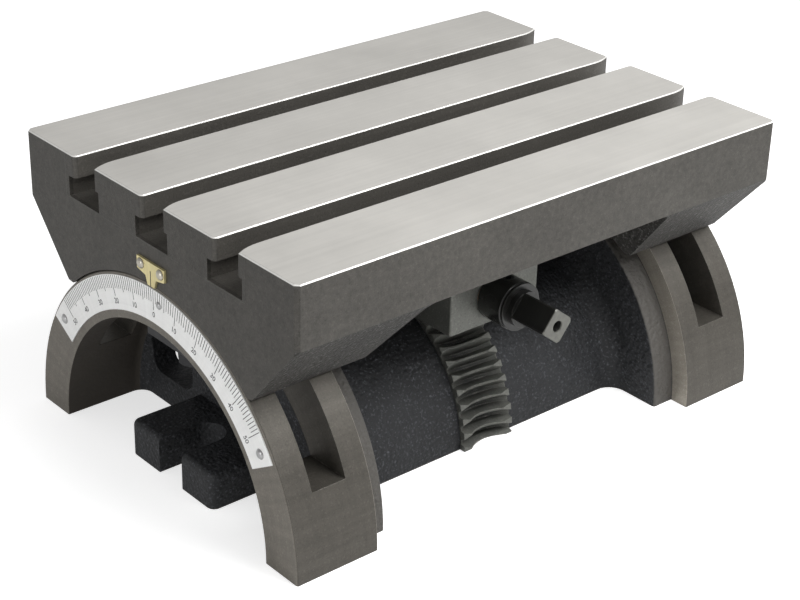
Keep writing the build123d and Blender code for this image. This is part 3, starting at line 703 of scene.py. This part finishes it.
def scale_line_tree():
    """Lines round an arc about the X axis, longer at every fifth and every tenth."""
    tree = bpy.data.node_groups.new("Scale lines", "GeometryNodeTree")
    tree.interface.new_socket("Reach", in_out="INPUT", socket_type="NodeSocketInt")
    for name in ("Outer Radius", "Degree Line", "Five Line", "Ten Line", "Width", "Height", "Face X"):
        tree.interface.new_socket(name, in_out="INPUT", socket_type="NodeSocketFloat")
    tree.interface.new_socket("Ink", in_out="INPUT", socket_type="NodeSocketMaterial")
    tree.interface.new_socket("Lines", in_out="OUTPUT", socket_type="NodeSocketGeometry")
    graph = Tree(tree)
    given = graph.node("NodeGroupInput").outputs
    count = graph.maths("ADD", graph.times(given["Reach"], 2.0), 1.0)
    spots = graph.node("GeometryNodeMeshLine", Count=count)
    index = graph.node("GeometryNodeInputIndex").outputs[0]
    degree = graph.maths("SUBTRACT", index, given["Reach"])
    angle = graph.maths("RADIANS", degree)
    # A hundred keeps every degree positive, and a quarter keeps it clear of whole fractions.
    shifted = graph.maths("ADD", degree, 100.25)
    fifth, tenth = (
        graph.maths("COMPARE", graph.maths("FRACT", graph.maths("DIVIDE", shifted, step)), 0.25 / step, 0.02)
        for step in (5.0, 10.0))
    longer = graph.maths("SUBTRACT", given["Five Line"], given["Degree Line"])
    longest = graph.maths("SUBTRACT", given["Ten Line"], given["Five Line"])
    length = graph.maths("ADD", given["Degree Line"], graph.times(fifth, longer))
    length = graph.maths("ADD", length, graph.times(tenth, longest))
    middle = graph.maths("SUBTRACT", given["Outer Radius"], graph.times(length, 0.5))
    across = graph.times(graph.maths("SINE", angle), middle, -1.0)
    up = graph.times(graph.maths("COSINE", angle), middle)
    place = graph.vector(given["Face X"], across, up)
    moved = graph.node("GeometryNodeSetPosition", Geometry=spots.outputs[0], Position=place)
    bar = graph.node("GeometryNodeMeshCube", Size=(1.0, 1.0, 1.0))
    lines = graph.node(
        "GeometryNodeInstanceOnPoints", Points=moved.outputs[0], Instance=bar.outputs[0],
        Rotation=graph.vector(angle), Scale=graph.vector(given["Height"], given["Width"], length))
    real = graph.node("GeometryNodeRealizeInstances", Geometry=lines.outputs[0])
    inked = graph.node("GeometryNodeSetMaterial", Geometry=real.outputs[0], Material=given["Ink"])
    result = graph.node("NodeGroupOutput")
    tree.links.new(inked.outputs[0], result.inputs[0])
    return tree


def run_tree(name, tree, **inputs):
    """The plain mesh that a Geometry Nodes tree makes with these inputs."""
    holder = bpy.data.objects.new(name + "_source", bpy.data.meshes.new(name + "_source"))
    bpy.context.scene.collection.objects.link(holder)
    modifier = holder.modifiers.new("Nodes", "NODES")
    modifier.node_group = tree
    sockets = {item.name: item.identifier for item in tree.interface.items_tree if item.in_out == "INPUT"}
    for label, value in inputs.items():
        modifier[sockets[label.replace("_", " ")]] = value
    bpy.context.view_layer.update()
    made = holder.evaluated_get(bpy.context.evaluated_depsgraph_get())
    mesh = bpy.data.meshes.new_from_object(made)
    mesh.name = name
    holder.modifiers.clear()
    bpy.data.objects.remove(holder)
    return mesh


def round_heads(name, node, face, body):
    """Domed heads with their shanks, one for each solid of a CAD node, set along X."""
    edit = bmesh.new()
    steps, segments, shank, sharp = 8, 32, 0.5, math.radians(50.0)
    for low, high in loose_boxes(node):
        rim = (high.y - low.y) / 2
        centre = Vector((0.0, (low.y + high.y) / 2, (low.z + high.z) / 2))
        turns = [math.radians(90.0 * step / steps) for step in range(steps + 1)]
        outline = [(face - (face - low.x) * math.cos(turn), rim * math.sin(turn)) for turn in turns]
        outline += [(face, rim * shank), (high.x, rim * shank), (high.x, 0.0)]
        points = [edit.verts.new(centre + Vector((x, 0.0, out))) for x, out in outline]
        edges = [edit.edges.new(pair) for pair in zip(points, points[1:])]
        bmesh.ops.spin(
            edit, geom=points + edges, cent=centre, axis=(1.0, 0.0, 0.0), angle=math.tau,
            steps=segments, use_merge=True)
    bmesh.ops.remove_doubles(edit, verts=edit.verts, dist=MERGE)
    bmesh.ops.recalc_face_normals(edit, faces=edit.faces)
    for shown in edit.faces:
        shown.smooth = True
    mesh = bpy.data.meshes.new(name)
    edit.to_mesh(mesh)
    edit.free()
    mesh.set_sharp_from_angle(angle=sharp)
    slots = material_slots()
    piece = new_piece(name, mesh, FINISHES[slots[node]])
    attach(piece, body)
    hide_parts(node)


# Operators

class TILTTABLE_OT_stage(bpy.types.Operator):
    """Add the floor, the world, the lamps and the camera"""

    bl_idname = "tilttable.stage"
    bl_label = "Stage"

    def execute(self, context):
        stage = context.scene.tilttable_stage
        self.floor(stage)
        self.world(stage)
        self.lamps(stage)
        self.camera(stage)
        context.scene.view_settings.view_transform = "Standard"
        return {"FINISHED"}

    def floor(self, stage):
        mesh = bpy.data.meshes.new("floor")
        edit = bmesh.new()
        bmesh.ops.create_grid(edit, x_segments=2, y_segments=2, size=4.0)
        edit.to_mesh(mesh)
        edit.free()
        finish = Finish("Pale floor")
        graph = finish.graph
        finish.set(Base_Color=stage.floor, Roughness=0.9, Specular_IOR_Level=0.0)
        path = graph.node("ShaderNodeLightPath").outputs
        mirrored = 0.3
        seen = graph.maths("ADD", path["Is Camera Ray"], graph.times(path["Is Glossy Ray"], mirrored))
        strength = graph.times(seen, stage.floor_glow)
        glow = graph.node("ShaderNodeEmission", Color=(1.0, 1.0, 1.0), Strength=strength)
        both = graph.node("ShaderNodeAddShader")
        graph.tree.links.new(finish.surface.outputs[0], both.inputs[0])
        graph.tree.links.new(glow.outputs[0], both.inputs[1])
        graph.tree.links.new(both.outputs[0], graph.tree.nodes["Material Output"].inputs["Surface"])
        new_piece("floor", mesh, finish.material)

    def world(self, stage):
        world = bpy.data.worlds.new("Studio")
        bpy.context.scene.world = world
        world.use_nodes = True
        graph = Tree(world.node_tree)
        path = graph.node("ShaderNodeLightPath").outputs
        seen = graph.maths("MAXIMUM", path["Is Camera Ray"], path["Is Transmission Ray"])
        strength = graph.ramp(seen, 0.0, 1.0, stage.world_light, 1.0)
        background = world.node_tree.nodes["Background"]
        background.inputs["Color"].default_value = (1.0, 1.0, 1.0, 1.0)
        graph.feed(background.inputs["Strength"], strength)

    def lamp(self, name, power, place, size, target=(0.0, 0.0, 0.06)):
        light = bpy.data.lights.new(name, "AREA")
        light.energy = power
        light.shape = "DISK"
        light.size = size
        lamp = bpy.data.objects.new(name, light)
        lamp.location = place
        lamp.rotation_euler = (Vector(target) - Vector(place)).to_track_quat("-Z", "Y").to_euler()
        bpy.context.scene.collection.objects.link(lamp)

    def lamps(self, stage):
        self.lamp("lamp_above", stage.top_lamp, place=(0.13, -0.35, 0.58), size=0.45)
        self.lamp("lamp_right", stage.right_lamp, place=(0.9, -0.6, 0.75), size=0.5)
        self.lamp("lamp_left", stage.left_lamp, place=(-0.95, -0.1, 0.24), size=0.4)

    def camera(self, stage):
        place = Vector((-0.48316, -0.55329, 0.41982))
        right = Vector((0.76190953, -0.6472565, 0.02351361))
        down = Vector((-0.27899275, -0.36074321, -0.8899592))
        ahead = Vector((0.58451425, 0.67150827, -0.45543356))
        turn = Matrix((right, -down, -ahead)).transposed().to_4x4()
        lens = bpy.data.cameras.new("camera")
        lens.lens = stage.lens
        lens.sensor_width = 36.0
        camera = bpy.data.objects.new("camera", lens)
        camera.matrix_world = Matrix.Translation(place) @ turn
        bpy.context.scene.collection.objects.link(camera)
        bpy.context.scene.camera = camera


class TILTTABLE_OT_finishes(bpy.types.Operator):
    """Build every finish that the pieces use"""

    bl_idname = "tilttable.finishes"
    bl_label = "Finishes"

    def execute(self, context):
        make_finishes(context.scene.tilttable_finish)
        return {"FINISHED"}


class TILTTABLE_OT_castings(bpy.types.Operator):
    """Finish the base casting, the table casting and the worm bracket"""

    bl_idname = "tilttable.castings"
    bl_label = "Castings"

    def execute(self, context):
        dress("base_casting", "table_casting", "worm_bracket")
        return {"FINISHED"}


class TILTTABLE_OT_drive(bpy.types.Operator):
    """Finish the toothed ring, the worm shaft and what runs on it"""

    bl_idname = "tilttable.drive"
    bl_label = "Worm drive"

    def execute(self, context):
        dress("gear_segment", "worm_shaft", "front_bush", "rear_bush")
        dress("front_thrust_washer", "rear_thrust_washer", "shaft_collar", "retaining_ring")
        return {"FINISHED"}


class TILTTABLE_OT_fasteners(bpy.types.Operator):
    """Finish the screws and dowels of the drive"""

    bl_idname = "tilttable.fasteners"
    bl_label = "Fasteners"

    def execute(self, context):
        dress("segment_screws", "bracket_screws", "bracket_dowels", "bush_set_screws", "collar_set_screw")
        return {"FINISHED"}


class TILTTABLE_OT_clamps(bpy.types.Operator):
    """Finish the two tilt clamps"""

    bl_idname = "tilttable.clamps"
    bl_label = "Tilt clamps"

    def execute(self, context):
        for end in ("left", "right"):
            dress(f"{end}_clamp_screw", f"{end}_clamp_washer", f"{end}_clamp_shoe")
        return {"FINISHED"}


class TILTTABLE_OT_scale(bpy.types.Operator):
    """Finish the scale plate and print its lines and numbers"""

    bl_idname = "tilttable.scale"
    bl_label = "Angle scale"

    def execute(self, context):
        scale = context.scene.tilttable_scale
        dress("scale_plate")
        round_heads("rivet_heads", "scale_rivets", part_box("scale_plate")[0].x, "base")
        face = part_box("scale_plate")[0].x - scale.line_height / 2
        lines = run_tree(
            "scale_lines", scale_line_tree(), Reach=scale.reach, Outer_Radius=scale.outer_radius,
            Degree_Line=scale.degree_line, Five_Line=scale.five_line, Ten_Line=scale.ten_line,
            Width=scale.line_width, Height=scale.line_height, Face_X=face, Ink=FINISHES["ink"],
        )
        piece = new_piece("scale_lines", lines, None)
        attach(piece, "base")
        piece = new_piece("scale_numbers", self.numbers(scale, face), FINISHES["ink"])
        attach(piece, "base")
        return {"FINISHED"}

    def numbers(self, scale, face):
        """All the numbers as one mesh, each upright on its radius as seen from -X."""
        joined = bmesh.new()
        facing = Matrix(((0, 0, -1, 0), (-1, 0, 0, 0), (0, 1, 0, 0), (0, 0, 0, 1)))
        every = 10
        for degree in range(-scale.reach, scale.reach + 1, every):
            text = bpy.data.curves.new("number", "FONT")
            text.body = str(abs(degree))
            text.size = scale.number_size
            text.align_x = "CENTER"
            text.align_y = "CENTER"
            text.extrude = scale.line_height
            holder = bpy.data.objects.new("number", text)
            mesh = bpy.data.meshes.new_from_object(holder)
            turn = Matrix.Rotation(math.radians(degree), 4, "X")
            raised = Matrix.Translation((0, 0, scale.number_radius))
            mesh.transform(Matrix.Translation((face, 0, 0)) @ turn @ raised @ facing)
            joined.from_mesh(mesh)
            bpy.data.objects.remove(holder)
            bpy.data.meshes.remove(mesh)
        bmesh.ops.remove_doubles(joined, verts=joined.verts, dist=MERGE)
        bmesh.ops.recalc_face_normals(joined, faces=joined.faces)
        result = bpy.data.meshes.new("scale_numbers")
        joined.to_mesh(result)
        joined.free()
        return result


class TILTTABLE_OT_pointer(bpy.types.Operator):
    """Finish the brass index and its screws, and cut its line"""

    bl_idname = "tilttable.pointer"
    bl_label = "Index"

    def execute(self, context):
        dress("pointer_plate")
        low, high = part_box("pointer_plate")
        round_heads("pointer_screw_heads", "pointer_screws", low.x, "table")
        mesh = bpy.data.meshes.new("pointer_line")
        edit = bmesh.new()
        bmesh.ops.create_cube(edit, size=1.0)
        share, proud, tip_gap = 0.62, 0.00002, 0.0002
        depth, width, height = 0.00006, 0.00045, (high.z - low.z) * share
        place = Matrix.Translation((low.x - proud, 0.0, low.z + height / 2 + tip_gap))
        edit.transform(place @ Matrix.Diagonal((depth, width, height, 1.0)))
        edit.to_mesh(mesh)
        edit.free()
        piece = new_piece("pointer_line", mesh, FINISHES["ink"])
        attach(piece, "table")
        return {"FINISHED"}


class TILTTABLE_PT_panel(bpy.types.Panel):
    """Buttons for each group of pieces, and their settings"""

    bl_label = "Tilting table"
    bl_idname = "TILTTABLE_PT_panel"
    bl_space_type = "VIEW_3D"
    bl_region_type = "UI"
    bl_category = "Tilting table"

    def draw(self, context):
        for operator in OPERATORS:
            self.layout.operator(operator.bl_idname)
        scene = context.scene
        for settings in (scene.tilttable_scale, scene.tilttable_finish, scene.tilttable_stage):
            box = self.layout.box()
            for name in settings.__annotations__:
                box.prop(settings, name)


SETTINGS = (ScaleSettings, FinishSettings, StageSettings)
OPERATORS = (
    TILTTABLE_OT_stage, TILTTABLE_OT_finishes, TILTTABLE_OT_castings, TILTTABLE_OT_drive,
    TILTTABLE_OT_fasteners, TILTTABLE_OT_clamps, TILTTABLE_OT_scale, TILTTABLE_OT_pointer,
)


def register():
    for cls in (*SETTINGS, *OPERATORS, TILTTABLE_PT_panel):
        bpy.utils.register_class(cls)
    bpy.types.Scene.tilttable_scale = PointerProperty(type=ScaleSettings)
    bpy.types.Scene.tilttable_finish = PointerProperty(type=FinishSettings)
    bpy.types.Scene.tilttable_stage = PointerProperty(type=StageSettings)


def unregister():
    del bpy.types.Scene.tilttable_stage
    del bpy.types.Scene.tilttable_finish
    del bpy.types.Scene.tilttable_scale
    for cls in reversed((*SETTINGS, *OPERATORS, TILTTABLE_PT_panel)):
        bpy.utils.unregister_class(cls)


def main():
    """Register the classes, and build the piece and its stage."""
    register()
    bpy.ops.tilttable.stage()
    bpy.ops.tilttable.finishes()
    bpy.ops.tilttable.castings()
    bpy.ops.tilttable.drive()
    bpy.ops.tilttable.fasteners()
    bpy.ops.tilttable.clamps()
    bpy.ops.tilttable.scale()
    bpy.ops.tilttable.pointer()


if __name__ == "__main__":
    main()
